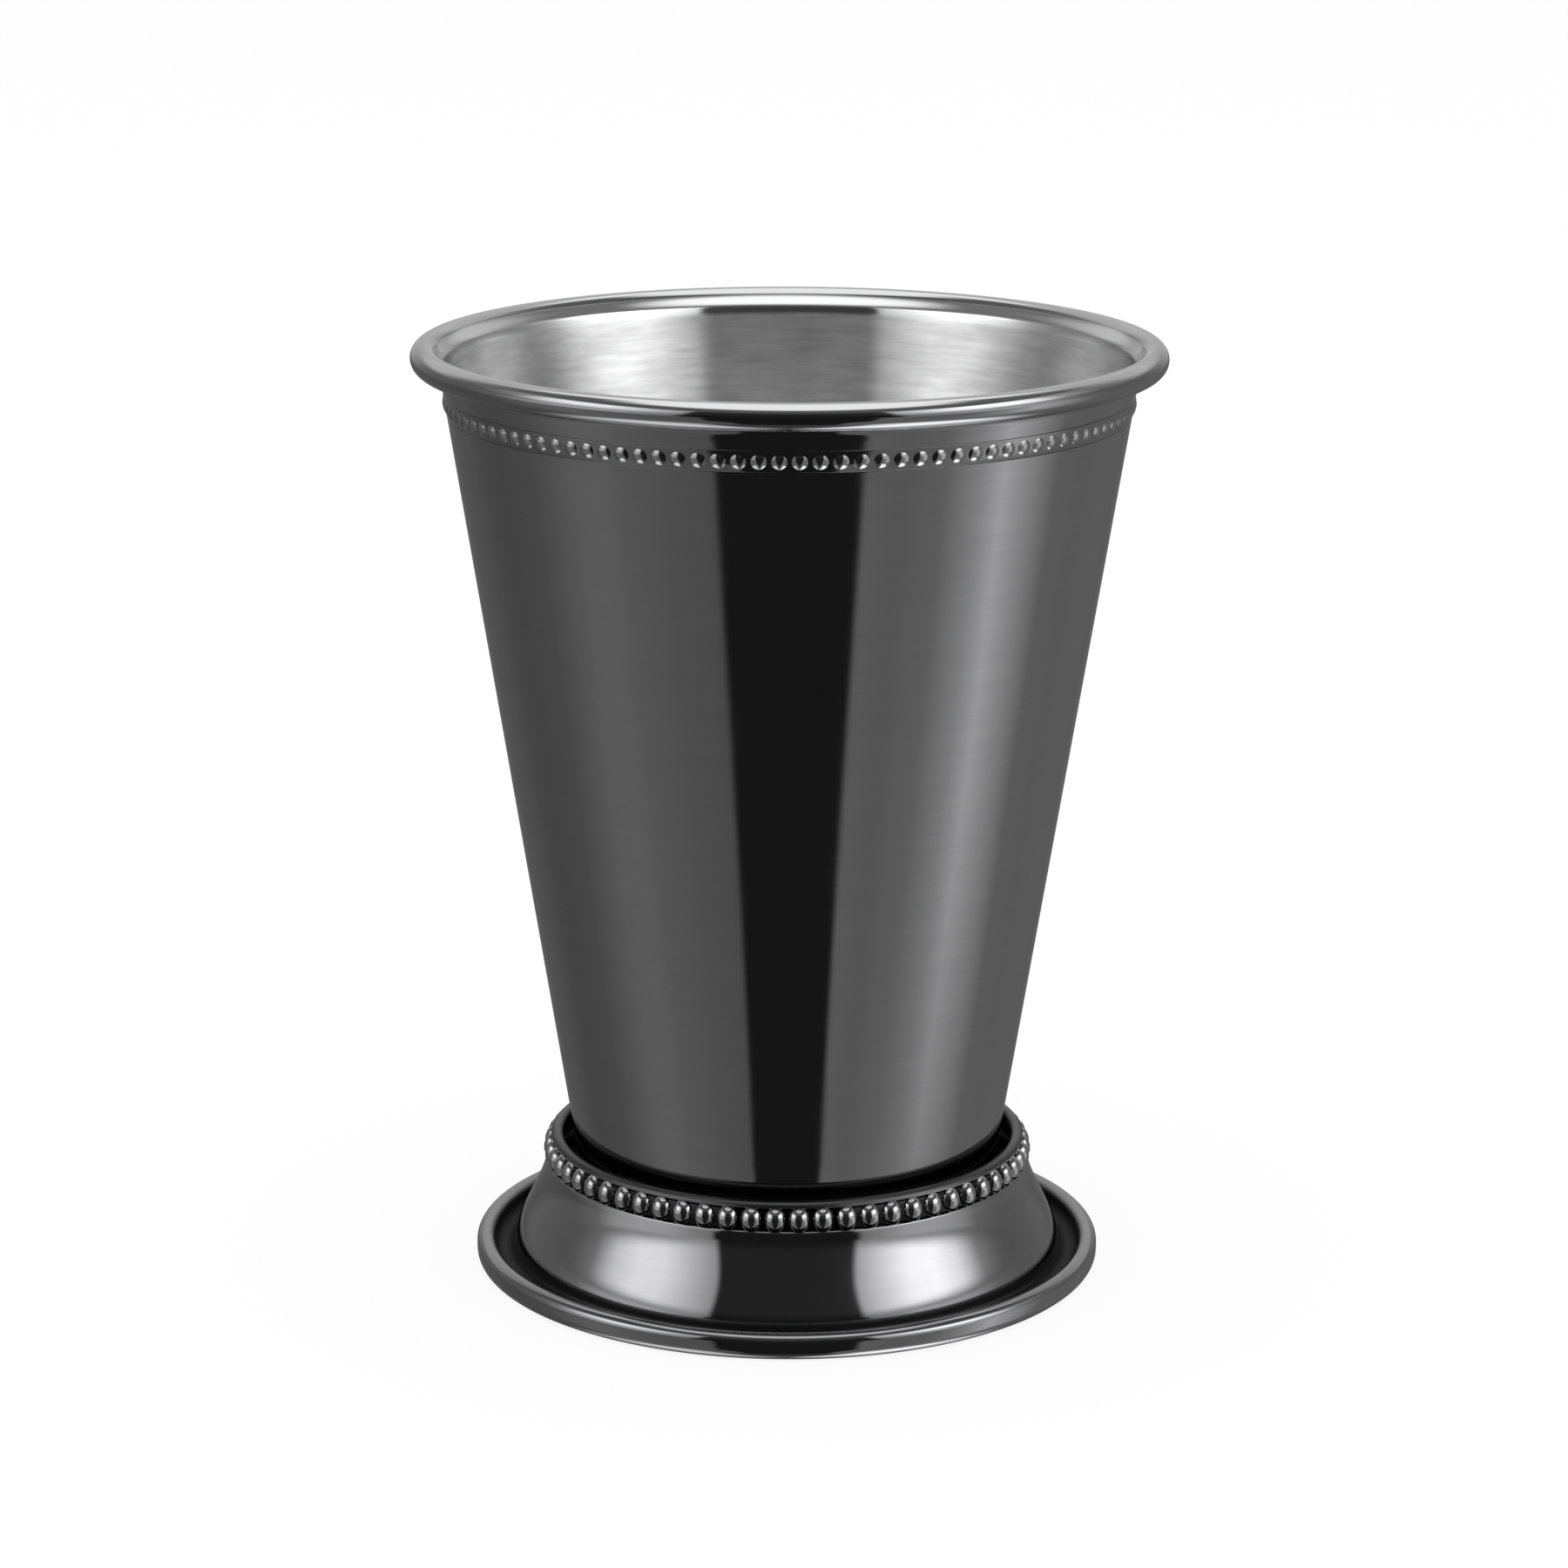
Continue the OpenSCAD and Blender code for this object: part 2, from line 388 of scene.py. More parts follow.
def turn_piece(name, tree, line, values, crease=40):
    """Runs a tree on a section and returns its result as a plain object."""
    drawn_section = section_object(name + "_drawn", line)
    values = {**values, "Section": drawn_section, "Sides": ROUND_SIDES}
    piece = bpy.data.objects.new(name, bpy.data.meshes.new(name))
    bpy.context.collection.objects.link(piece)
    modifier = piece.modifiers.new("tree", "NODES")
    modifier.node_group = tree
    for item in tree.interface.items_tree:
        if item.in_out == "INPUT" and item.name in values:
            modifier[item.identifier] = values[item.name]
    shown = piece.evaluated_get(bpy.context.evaluated_depsgraph_get())
    mesh = bpy.data.meshes.new_from_object(shown)
    piece.modifiers.clear()
    piece.data = mesh
    mesh.name = name
    drop_empty_slots(mesh)
    face_out(mesh)
    mesh.shade_smooth()
    mesh.set_sharp_from_angle(angle=math.radians(crease))
    mesh.update()
    bpy.data.objects.remove(drawn_section)
    print(name, "faces:", len(mesh.polygons), "materials:", [m.name for m in mesh.materials])
    return piece


# %% [markdown]
# Polished metal still shows how it was worked. A turned or brushed piece has fine rings round its axis.
# The rings are noise stretched round the axis: height and distance from the axis are scaled up far more
# than the direction round it. A coarser copy of the same noise gives broad patches.

# %% Node group for rings left by turning and brushing
SAFE_RADIUS = 0.5 * MM
RADIUS_SHARE = 0.6
PATCH_SHARE = 0.16

rings, given, made = new_tree(
    "worked_rings",
    "ShaderNodeTree",
    [("Rings per Metre", "NodeSocketFloat"), ("Stretch", "NodeSocketFloat")],
    [("Rings", "NodeSocketFloat"), ("Patches", "NodeSocketFloat")],
)
x, y, z = parts(rings, put(rings, "ShaderNodeTexCoord", "Object"))
radius = from_axis(rings, x, y)
safe_radius = sums(rings, "MAXIMUM", radius, SAFE_RADIUS)
across = sums(rings, "MULTIPLY", sums(rings, "DIVIDE", x, safe_radius), given.outputs["Stretch"])
along = sums(rings, "MULTIPLY", sums(rings, "DIVIDE", y, safe_radius), given.outputs["Stretch"])
climb = sums(rings, "ADD", z, sums(rings, "MULTIPLY", radius, RADIUS_SHARE))
ring_height = sums(rings, "MULTIPLY", climb, given.outputs["Rings per Metre"])
ring_place = put(rings, "ShaderNodeCombineXYZ", X=across, Y=along, Z=ring_height)
fine = put(rings, "ShaderNodeTexNoise", Vector=ring_place, Scale=1.0, Detail=3.0)
patch_height = sums(rings, "MULTIPLY", ring_height, PATCH_SHARE)
patch_place = put(rings, "ShaderNodeCombineXYZ", X=across, Y=along, Z=patch_height)
coarse = put(rings, "ShaderNodeTexNoise", Vector=patch_place, Scale=1.0, Detail=2.0)
rings.links.new(fine, made.inputs["Rings"])
rings.links.new(coarse, made.inputs["Patches"])
print("finish group:", rings.name)

# %% [markdown]
# Hands leave faint smudges, which are a little rougher than clean metal. A second, slower noise stands for
# the waves that drawing and spinning leave in thin sheet.

# %% Node group for smudges left by handling
SMUDGE_SCALE = 60.0
CLOUD_LOW = 0.35
CLOUD_HIGH = 0.7
WAVE_SCALE = 45.0

smudges, given, made = new_tree(
    "handling_smudges",
    "ShaderNodeTree",
    [("Least", "NodeSocketFloat"), ("Most", "NodeSocketFloat")],
    [("Roughness", "NodeSocketFloat"), ("Wave", "NodeSocketFloat")],
)
place = put(smudges, "ShaderNodeTexCoord", "Object")
cloud = put(smudges, "ShaderNodeTexNoise", Vector=place, Scale=SMUDGE_SCALE, Detail=4.0, Roughness=0.6)
smudge_roughness = put(
    smudges,
    "ShaderNodeMapRange",
    Value=cloud,
    From_Min=CLOUD_LOW,
    From_Max=CLOUD_HIGH,
    To_Min=given.outputs["Least"],
    To_Max=given.outputs["Most"],
)
smudges.links.new(smudge_roughness, made.inputs["Roughness"])
wave = put(smudges, "ShaderNodeTexNoise", Vector=place, Scale=WAVE_SCALE, Detail=1.0)
smudges.links.new(wave, made.inputs["Wave"])
print("finish group:", smudges.name)

# %% [markdown]
# Shade is painted into the foot's valley: the colour there goes near black, and the roughness goes up. A
# depth mask on the foot is simple, because everything there is round: the valley is the ring between two
# distances from the axis, near the table. Each of the three limits is softened over a few tenths of a
# millimetre.

# %% Node group for the painted shade in the foot's valley
INNER_SOFT = 0.4 * MM
OUTER_SOFT = 0.3 * MM
TOP_SOFT = 0.6 * MM

valley_shade, given, made = new_tree(
    "valley_painted_shade",
    "ShaderNodeTree",
    [("Inner Radius", "NodeSocketFloat"), ("Outer Radius", "NodeSocketFloat"), ("Top", "NodeSocketFloat")],
    [("Valley Shade", "NodeSocketFloat")],
)
x, y, z = parts(valley_shade, put(valley_shade, "ShaderNodeTexCoord", "Object"))
radius = from_axis(valley_shade, x, y)
past_inner = sums(valley_shade, "SUBTRACT", radius, given.outputs["Inner Radius"])
past_inner = sums(valley_shade, "DIVIDE", past_inner, INNER_SOFT)
before_outer = sums(valley_shade, "SUBTRACT", given.outputs["Outer Radius"], radius)
before_outer = sums(valley_shade, "DIVIDE", before_outer, OUTER_SOFT)
under_top = sums(valley_shade, "DIVIDE", sums(valley_shade, "SUBTRACT", given.outputs["Top"], z), TOP_SOFT)
nearest = sums(valley_shade, "MINIMUM", sums(valley_shade, "MINIMUM", past_inner, before_outer), under_top)
valley_shade.links.new(put(valley_shade, "ShaderNodeClamp", i0=nearest), made.inputs["Valley Shade"])
print("finish group:", valley_shade.name)


# %% [markdown]
# Some changes of colour go by height alone: the rim's crest is painted paler as a painted highlight, the
# steel is smoother by the mouth, and painted shade darkens the cup's floor. One small group gives the mask
# for all three.

# %% Node group for masks by height
height_mask, given, made = new_tree(
    "height_mask",
    "ShaderNodeTree",
    [("Start", "NodeSocketFloat"), ("End", "NodeSocketFloat")],
    [("Mask", "NodeSocketFloat")],
)
place = put(height_mask, "ShaderNodeTexCoord", "Object")
mask = put(
    height_mask,
    "ShaderNodeMapRange",
    Value=parts(height_mask, place)["Z"],
    From_Min=given.outputs["Start"],
    From_Max=given.outputs["End"],
)
height_mask.links.new(mask, made.inputs["Mask"])
print("finish group:", height_mask.name)


# %% [markdown]
# All the metals here are greys with a trace of blue. A metal mixes two of them by its rings and patches,
# takes its roughness from the smudges, and gets a faint relief from the rings and the waves.

# %% A helper that makes a metal
RING_COLOUR_SHARE = 0.6
STREAK_LOW = 0.35
STREAK_HIGH = 0.65


def grey(level, blue=0.005):
    """A grey with a trace of blue."""
    return (level, level, level + blue, 1)


def mixed_colour(tree, share, first, second):
    """The first colour where share is 0, and the second where it is 1."""
    kind = {"data_type": "RGBA"}
    return put(tree, "ShaderNodeMix", "Result", settings=kind, Factor=share, A=first, B=second)


def metal(name, pale, dark, ring_count, ring_depth, roughness, wave_depth=0.0, stretch=3.0):
    """A metal with worked rings in its colour and relief, and smudges in its roughness."""
    material = bpy.data.materials.new(name)
    material.use_nodes = True
    tree = material.node_tree
    shader = tree.nodes["Principled BSDF"]
    worked = use_group(tree, rings, Rings_per_Metre=ring_count, Stretch=stretch)
    handled = use_group(tree, smudges, Least=roughness[0], Most=roughness[1])
    streak = sums(tree, "MULTIPLY", worked["Rings"], RING_COLOUR_SHARE)
    streak = sums(tree, "MULTIPLY_ADD", worked["Patches"], 1 - RING_COLOUR_SHARE, streak)
    spread = put(tree, "ShaderNodeMapRange", Value=streak, From_Min=STREAK_LOW, From_Max=STREAK_HIGH)
    colour = mixed_colour(tree, spread, dark, pale)
    relief = sums(tree, "MULTIPLY", worked["Rings"], ring_depth)
    relief = sums(tree, "MULTIPLY_ADD", handled["Wave"], wave_depth, relief)
    bump = put(tree, "ShaderNodeBump", "Normal", Distance=1.0, Height=relief)
    shader.inputs["Metallic"].default_value = 1.0
    tree.links.new(colour, shader.inputs["Base Color"])
    tree.links.new(handled["Roughness"], shader.inputs["Roughness"])
    tree.links.new(bump, shader.inputs["Normal"])
    return material


# %% [markdown]
# A finished metal can still be changed in one place. These two helpers blend another colour or another
# roughness in where a mask is 1.

# %% Helpers that change a metal under a mask
def tint(material, mask, colour):
    """Changes a metal's colour to another where the mask is 1."""
    tree = material.node_tree
    inlet = tree.nodes["Principled BSDF"].inputs["Base Color"]
    before = inlet.links[0].from_socket
    tree.links.new(mixed_colour(tree, mask, before, colour), inlet)


def roughen(material, mask, roughness):
    """Changes a metal's roughness to another where the mask is 1."""
    tree = material.node_tree
    inlet = tree.nodes["Principled BSDF"].inputs["Roughness"]
    before = inlet.links[0].from_socket
    after = put(tree, "ShaderNodeMix", "Result", Factor=mask, A=before, B=roughness)
    tree.links.new(after, inlet)


# %% [markdown]
# The outside is plated with black nickel: a mirror, but a dark one that gives back about a quarter of the
# light. The rim's crest is painted paler, as a painted highlight, and painted shade darkens the foot's
# valley.

# %% Black nickel of the cup and the foot
FINE_RINGS = 2600
CREST_HIGHLIGHT_START = HEIGHT - 1.1 * MM
CREST_HIGHLIGHT_END = HEIGHT - 0.5 * MM
VALLEY_SHADE_INNER = 32.8 * MM
VALLEY_SHADE_OUTER = 36.1 * MM
VALLEY_SHADE_TOP = 3.1 * MM
NICKEL = {
    "pale": grey(0.25),
    "dark": grey(0.235),
    "ring_count": FINE_RINGS,
    "ring_depth": 0.0001 * MM,
    "roughness": (0.05, 0.09),
    "wave_depth": 0.004 * MM,
}

cup_nickel = metal("cup_black_nickel", **NICKEL)
# The roll's top is painted paler: a painted highlight on the rim's crest.
crest_highlight = use_group(cup_nickel.node_tree, height_mask, Start=CREST_HIGHLIGHT_START, End=CREST_HIGHLIGHT_END)
tint(cup_nickel, crest_highlight["Mask"], grey(0.46))
foot_nickel = metal("foot_black_nickel", **NICKEL)
# The foot's valley gets near-black colour, painted shade in the hollow, and a higher roughness.
shaded_valley = use_group(
    foot_nickel.node_tree, valley_shade, Inner_Radius=VALLEY_SHADE_INNER, Outer_Radius=VALLEY_SHADE_OUTER, Top=VALLEY_SHADE_TOP
)
tint(foot_nickel, shaded_valley["Valley Shade"], grey(0.02, 0.001))
roughen(foot_nickel, shaded_valley["Valley Shade"], 0.6)
print("black nickel:", cup_nickel.name, foot_nickel.name)

# %% [markdown]
# The inside is bare steel, brushed round and round, so it is paler and blurs what it reflects.
# Brush lines run round the cup, so they spread light up and down and hardly sideways: the shader calls
# that anisotropic. A number that is the same all over is set on the shader itself, because the exported
# model keeps it there.

# %% Brushed steel of the inside
MOUTH_START = 108.6 * MM
MOUTH_END = 109.1 * MM
FLOOR_TOP = BASE_HEIGHT + CUP_SHEET + 2 * MM
FLOOR_SHADE_FULL = FLOOR_TOP - 1.5 * MM

brushed_steel = metal(
    "brushed_steel_lining",
    pale=grey(0.78),
    dark=grey(0.58),
    ring_count=1500,
    ring_depth=0.002 * MM,
    roughness=(0.27, 0.33),
    stretch=7.0,
)
steel_tree = brushed_steel.node_tree
shader = steel_tree.nodes["Principled BSDF"]
shader.inputs["Anisotropic"].default_value = 1.0
shader.inputs["Anisotropic Rotation"].default_value = 0.25
round_way = put(steel_tree, "ShaderNodeTangent", settings={"direction_type": "RADIAL", "axis": "Z"})
steel_tree.links.new(round_way, shader.inputs["Tangent"])
smooth_mouth = use_group(steel_tree, height_mask, Start=MOUTH_START, End=MOUTH_END)
# The cup's floor is painted darker towards the bottom: painted shade inside the cup.
cup_floor_shade = use_group(steel_tree, height_mask, Start=FLOOR_TOP, End=FLOOR_SHADE_FULL)
tint(brushed_steel, smooth_mouth["Mask"], grey(0.6))
tint(brushed_steel, cup_floor_shade["Mask"], grey(0.45))
roughen(brushed_steel, smooth_mouth["Mask"], 0.12)
print("inside:", brushed_steel.name)

# %% [markdown]
# Two plain metals are left. The seat plate is pressed steel, which nobody polished. The collar's lip sits
# in
# the gap under the cup: it is rough, and painted near black as painted shade.

# %% Pressed steel and the lip's nickel, painted dark
pressed_steel = metal(
    "plain_pressed_steel",
    pale=grey(0.42),
    dark=grey(0.34),
    ring_count=900,
    ring_depth=0.004 * MM,
    roughness=(0.3, 0.42),
    wave_depth=0.02 * MM,
)
# The lip's near-black colour is painted shade from the cup over it.
shaded_lip_nickel = metal(
    "lip_nickel_painted_shade",
    pale=grey(0.09, 0.002),
    dark=grey(0.07, 0.002),
    ring_count=FINE_RINGS,
    ring_depth=0.0002 * MM,
    roughness=(0.3, 0.4),
)
print("plain metals:", pressed_steel.name, shaded_lip_nickel.name)

# %% [markdown]
# Beads are struck or rolled into a strip and then polished. Their crowns are painted paler than the
# plating, as painted highlight. On the foot the gaps between them are painted near black, as painted shade;
# under the rim the gaps keep about the plating's grey. The bead tree stores how high each point stands
# above the strip, and the bead metal reads that to go from gap to pale crown.

# %% Metal of the bead rows
def bead_metal(name, gap, crown_start, crown_end):
    """Nickel whose crowns are painted paler than the plating, as painted highlight, and which turns to the
    gap's colour at the foot of each bead.
    """
    # The crown greys are paler than the plating: painted highlight.
    material = metal(
        name,
        pale=grey(0.33),
        dark=grey(0.3),
        ring_count=FINE_RINGS,
        ring_depth=0.0001 * MM,
        roughness=(0.04, 0.08),
    )
    tree = material.node_tree
    inlet = tree.nodes["Principled BSDF"].inputs["Base Color"]
    polished = inlet.links[0].from_socket
    crown = put(tree, "ShaderNodeAttribute", "Fac", settings={"attribute_name": "crown"})
    rise = put(tree, "ShaderNodeMapRange", Value=crown, From_Min=crown_start, From_Max=crown_end)
    tree.links.new(mixed_colour(tree, rise, gap, polished), inlet)
    return material


# On the foot the gap colour is near black: painted shade between the beads.
foot_bead_nickel = bead_metal("foot_bead_nickel", gap=grey(0.02, 0.001), crown_start=0.02, crown_end=0.3)
rim_bead_nickel = bead_metal("rim_bead_nickel", gap=grey(0.22, 0.002), crown_start=0.1, crown_end=0.6)
print("bead metals:", foot_bead_nickel.name, rim_bead_nickel.name)

# %% [markdown]
# The cup wall is one sheet. First come its straight taper and the places that hang from it: the floor, the
# round corner over the base and the short neck that bends out into the rolled edge.

# %% Where the wall stands
wall_top = Vector((MOUTH_RADIUS, HEIGHT - NECK_HEIGHT))
wall_lean = math.atan((wall_top.x - BASE_RADIUS + CUP_SHEET) / (wall_top.y - BASE_HEIGHT))
wall_up = Vector((math.sin(wall_lean), math.cos(wall_lean)))
wall_out = Vector((wall_up.y, -wall_up.x))


def wall_radius(z):
    """Distance from the axis of the wall's outer face at a height."""
    return wall_top.x + CUP_SHEET / math.cos(wall_lean) + (z - wall_top.y) * math.tan(wall_lean)


floor_z = BASE_HEIGHT + CUP_SHEET
corner_z = floor_z + CORNER_INSIDE
corner_x = wall_radius(corner_z) - (CUP_SHEET + CORNER_INSIDE) / math.cos(wall_lean)
corner = Vector((corner_x, corner_z))
roll_line = arc(ROLL_CENTRE, ROLL_RADIUS, ROLL_START, ROLL_END, ROLL_STEPS)
roll_start = roll_line[0]
start_turn = math.radians(ROLL_START)
roll_way = Vector((math.sin(start_turn), -math.cos(start_turn)))
neck_pull = NECK_PULL_SHARE * (roll_start.y - wall_top.y)
neck_line = bend(
    wall_top, wall_top + Vector((0, neck_pull)), roll_start - neck_pull * roll_way, roll_start, NECK_STEPS
)
print("wall leans", round(math.degrees(wall_lean), 2), "degrees")

# %% [markdown]
# The section starts on the axis and follows the inside up the taper. The sheet's own line turns upright
# under the rim and bends out as the neck, and the outside is that line moved by the sheet's thickness.
# Seen from above, the inside runs straight nearly to the rolled edge, so it is drawn that way.

# %% Inside of the cup wall
TAPER_SHARE = 0.994
FLOOR_FLAT_SHARE = 0.6
MOUTH_PULL = 0.4 * MM
ROLL_PULL = 0.5 * MM

floor_line = [Vector((0, floor_z)), Vector((FLOOR_FLAT_SHARE * corner.x, floor_z))]
base_line = floor_line + arc(corner, CORNER_INSIDE, -90, -math.degrees(wall_lean), BASE_STEPS)
wall_foot = base_line[-1]
taper_end = wall_foot.lerp(wall_top, TAPER_SHARE)
taper = [wall_foot.lerp(taper_end, i / TAPER_STEPS) for i in range(1, TAPER_STEPS + 1)]
soft_turn = bend(taper_end, wall_top, wall_top, neck_line[2], SOFT_STEPS)[1:]
sheet_line = base_line + taper + soft_turn + neck_line[3:] + roll_line[1:]
mouth_end = wall_top + wall_up * MOUTH_RISE
mouth_turn = bend(
    mouth_end, mouth_end + wall_up * MOUTH_PULL, roll_start - roll_way * ROLL_PULL, roll_start, MOUTH_STEPS
)
inside_line = base_line + taper + [taper_end.lerp(mouth_end, 0.5)] + mouth_turn
print("inside has", len(inside_line), "points")

# %% [markdown]
# The bead strip is set into the wall, so the outline of the cup stays straight there.
# The groove's edges are rounded a little: a tiny round edge catches the light, and a sharp one doesn't.

# %% Outside of the cup wall, with its groove
def groove(middle, up, out, width, depth):
    """Line across a groove from its upper lip to its lower lip, with softly rounded edges."""
    reach = up * width / 2
    deep = out * depth
    land = up * 2 * EDGE_ROUND
    sharp = [
        middle + reach + land,
        middle + reach,
        middle + reach - deep,
        middle - reach - deep,
        middle - reach,
        middle - reach - land,
    ]
    return rounded(sharp, EDGE_ROUND)


rim_bead_place = Vector((wall_radius(RIM_BEAD_HEIGHT), RIM_BEAD_HEIGHT))
rim_groove = groove(rim_bead_place, wall_up, wall_out, RIM_GROOVE_WIDTH, RIM_GROOVE_DEPTH)
smooth_outside = list(reversed(beside(sheet_line, CUP_SHEET)))
roll_side = rim_bead_place.x + MM
above = [p for p in smooth_outside if p.y > rim_groove[0].y or p.x > roll_side]
below = [p for p in smooth_outside if p.y < rim_groove[-1].y and p.x <= roll_side]
cup_section = inside_line + roll_line[1:] + above + rim_groove + below
print("cup section has", len(cup_section), "points")

# %% [markdown]
# The brushed finish ends where the rolled edge starts: from there on the rim is plated and polished like
# the outside. The rows of the section up to the roll get the lining.

# %% Turn the cup
cup = turn_piece(
    "cup_wall",
    lathe,
    cup_section,
    {"Lined Rows": len(inside_line) - 1, "Metal": cup_nickel, "Lining": brushed_steel},
)
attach(cup, "root")
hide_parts("cup_shell")

# %% [markdown]
# The foot is spun from thinner sheet. Its collar stands free of the cup, so there is a dark gap between
# them. From the collar the sheet flares out, dips into a valley and ends in a rolled hem on the table.

# %% Where the foot's parts stand
collar_lean = math.atan(COLLAR_SLOPE)
collar_down = Vector((math.sin(collar_lean), -math.cos(collar_lean)))
collar_out = Vector((math.cos(collar_lean), math.sin(collar_lean)))
lip = Vector((COLLAR_RADIUS, FOOT_HEIGHT))
foot_bead_place = lip + FOOT_BEAD_DROP * collar_down
hem_centre = Vector((FOOT_RADIUS - HEM_RADIUS, HEM_HEIGHT - HEM_RADIUS))
hem_turn_centre = Vector((FOOT_RADIUS - HEM_TURN, HEM_TURN))
valley_radius = (hem_centre.x - HEM_RADIUS - FLARE_RADIUS) / 2
valley_centre = Vector((FLARE_RADIUS + valley_radius, VALLEY_HEIGHT + valley_radius))


def on_collar(down, depth):
    """A place on the collar, so far below the middle of its bead row, and pressed in so deep."""
    return foot_bead_place + down * collar_down - depth * collar_out


flare_top = on_collar(FLARE_DROP, 0)
flare_end = Vector((FLARE_RADIUS, valley_centre.y))
flare_high = flare_top.y - flare_end.y
print("flare is", round(flare_high / MM, 2), "mm high")

# %% [markdown]
# The foot's outside is drawn first and its back is the same line moved by the sheet's thickness. The lip is
# turned in to a small round edge at the top, which closes the section.

# %% Section of the foot
LIP_START = 230
LIP_END = 10
LIP_CLEAR = 1.2 * LIP_ROLL

groove_half = FOOT_GROOVE_WIDTH / 2
collar_line = [
    lip,
    on_collar(-groove_half - FOOT_GROOVE_RAMP, 0),
    on_collar(-groove_half, FOOT_GROOVE_DEPTH),
    on_collar(groove_half, FOOT_GROOVE_DEPTH),
    on_collar(groove_half + FOOT_GROOVE_RAMP, 0),
    flare_top,
]
flare_pulls = (
    flare_top + FLARE_TOP_PULL * flare_high * collar_down,
    flare_end + Vector((0, FLARE_END_PULL * flare_high)),
)
foot_line = rounded(collar_line, COLLAR_BEND)
foot_line += bend(flare_top, *flare_pulls, flare_end, FLARE_STEPS)[1:]
foot_line += arc(valley_centre, valley_radius, 180, 360, VALLEY_STEPS)[1:]
foot_line += arc(hem_centre, HEM_RADIUS, 180, 0, HEM_STEPS)[1:]
foot_line += arc(hem_turn_centre, HEM_TURN, 0, -90, HEM_TURN_STEPS)
foot_line += [hem_turn_centre + Vector((-HEM_EDGE, -HEM_TURN))]
lip_centre = lip + Vector((-LIP_ROLL, -LIP_ROLL))
lip_roll = arc(lip_centre, LIP_ROLL, LIP_START, LIP_END, LIP_STEPS)
foot_back = [p for p in reversed(beside(foot_line, FOOT_SHEET)) if p.y < lip_centre.y - LIP_CLEAR]
foot_section = lip_roll + foot_line[1:] + foot_back
print("foot section has", len(foot_section), "points")

# %% [markdown]
# The lathe turns the foot as it turned the cup. Here the lined rows are the lip's round edge.

# %% Turn the foot
foot = turn_piece(
    "foot_wall",
    lathe,
    foot_section,
    {"Lined Rows": len(lip_roll) - 1, "Metal": foot_nickel, "Lining": shaded_lip_nickel},
)
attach(foot, "root")
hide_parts("foot_shell")

# %% [markdown]
# A bead is the upper half of a ball, squeezed to its width, length and relief. The ball's lower half is
# pressed nearly flat, out of sight in the strip. How high each point stands is stored for the bead metal.

# %% One bead of the bead row tree
BELLY_SHARE = 0.12

bead_row, given, made = new_tree(
    "bead_row",
    "GeometryNodeTree",
    [
        ("Section", "NodeSocketObject"),
        ("Sides", "NodeSocketInt"),
        ("Beads", "NodeSocketInt"),
        ("Bead Width", "NodeSocketFloat"),
        ("Bead Length", "NodeSocketFloat"),
        ("Bead Relief", "NodeSocketFloat"),
        ("Crown Power", "NodeSocketFloat"),
        ("Row Radius", "NodeSocketFloat"),
        ("Row Height", "NodeSocketFloat"),
        ("Lean", "NodeSocketFloat"),
        ("Metal", "NodeSocketMaterial"),
    ],
    [("Geometry", "NodeSocketGeometry")],
)
asked = given.outputs
ball = put(bead_row, "GeometryNodeMeshUVSphere", "Mesh", Segments=14, Rings=6, Radius=1.0)
x, y, z = parts(bead_row, put(bead_row, "GeometryNodeInputPosition"))
crown_height = sums(bead_row, "POWER", sums(bead_row, "MAXIMUM", z, 0.0), asked["Crown Power"])
belly = sums(bead_row, "MULTIPLY", sums(bead_row, "MINIMUM", z, 0.0), BELLY_SHARE)
dome_height = sums(bead_row, "ADD", crown_height, belly)
dome_place = put(
    bead_row,
    "ShaderNodeCombineXYZ",
    X=sums(bead_row, "MULTIPLY", x, sums(bead_row, "MULTIPLY", asked["Bead Length"], 0.5)),
    Y=sums(bead_row, "MULTIPLY", y, sums(bead_row, "MULTIPLY", asked["Bead Width"], 0.5)),
    Z=sums(bead_row, "MULTIPLY", dome_height, asked["Bead Relief"]),
)
crowned = put(
    bead_row,
    "GeometryNodeStoreNamedAttribute",
    settings={"data_type": "FLOAT", "domain": "POINT"},
    Geometry=ball,
    Name="crown",
    Value=crown_height,
)
dome = put(bead_row, "GeometryNodeSetPosition", Geometry=crowned, Position=dome_place)
print("bead row tree starts with", len(bead_row.nodes), "nodes")

# %% [markdown]
# Beads repeat round a circle, which is what instances are for. The tree puts a copy of the bead at each
# step of the circle with its top facing out, and adds the strip below. Realizing the instances turns them
# into real mesh, because an exported model keeps only that.

# %% Beads round the circle
step = sums(bead_row, "ADD", put(bead_row, "GeometryNodeInputIndex"), 0.5)
turn = sums(bead_row, "MULTIPLY", sums(bead_row, "DIVIDE", step, asked["Beads"]), math.tau)
stand = on_circle(bead_row, asked["Row Radius"], asked["Row Height"], turn)
points = put(bead_row, "GeometryNodePoints", Count=asked["Beads"], Position=stand)
tilt = sums(bead_row, "ADD", asked["Lean"], math.pi / 2)
facing = put(bead_row, "ShaderNodeCombineXYZ", X=0.0, Y=tilt, Z=turn)
beads = put(bead_row, "GeometryNodeInstanceOnPoints", Points=points, Instance=dome, Rotation=facing)
strip = put(
    bead_row,
    "GeometryNodeGroup",
    settings={"node_tree": lathe},
    Section=asked["Section"],
    Sides=asked["Sides"],
)
joined = bead_row.nodes.new("GeometryNodeJoinGeometry")
bead_row.links.new(strip, joined.inputs[0])
bead_row.links.new(beads, joined.inputs[0])
real = put(bead_row, "GeometryNodeRealizeInstances", Geometry=joined.outputs[0])
coated = put(bead_row, "GeometryNodeSetMaterial", Geometry=real, Material=asked["Metal"])
bead_row.links.new(coated, made.inputs[0])
print("bead row tree:", len(bead_row.nodes), "nodes")


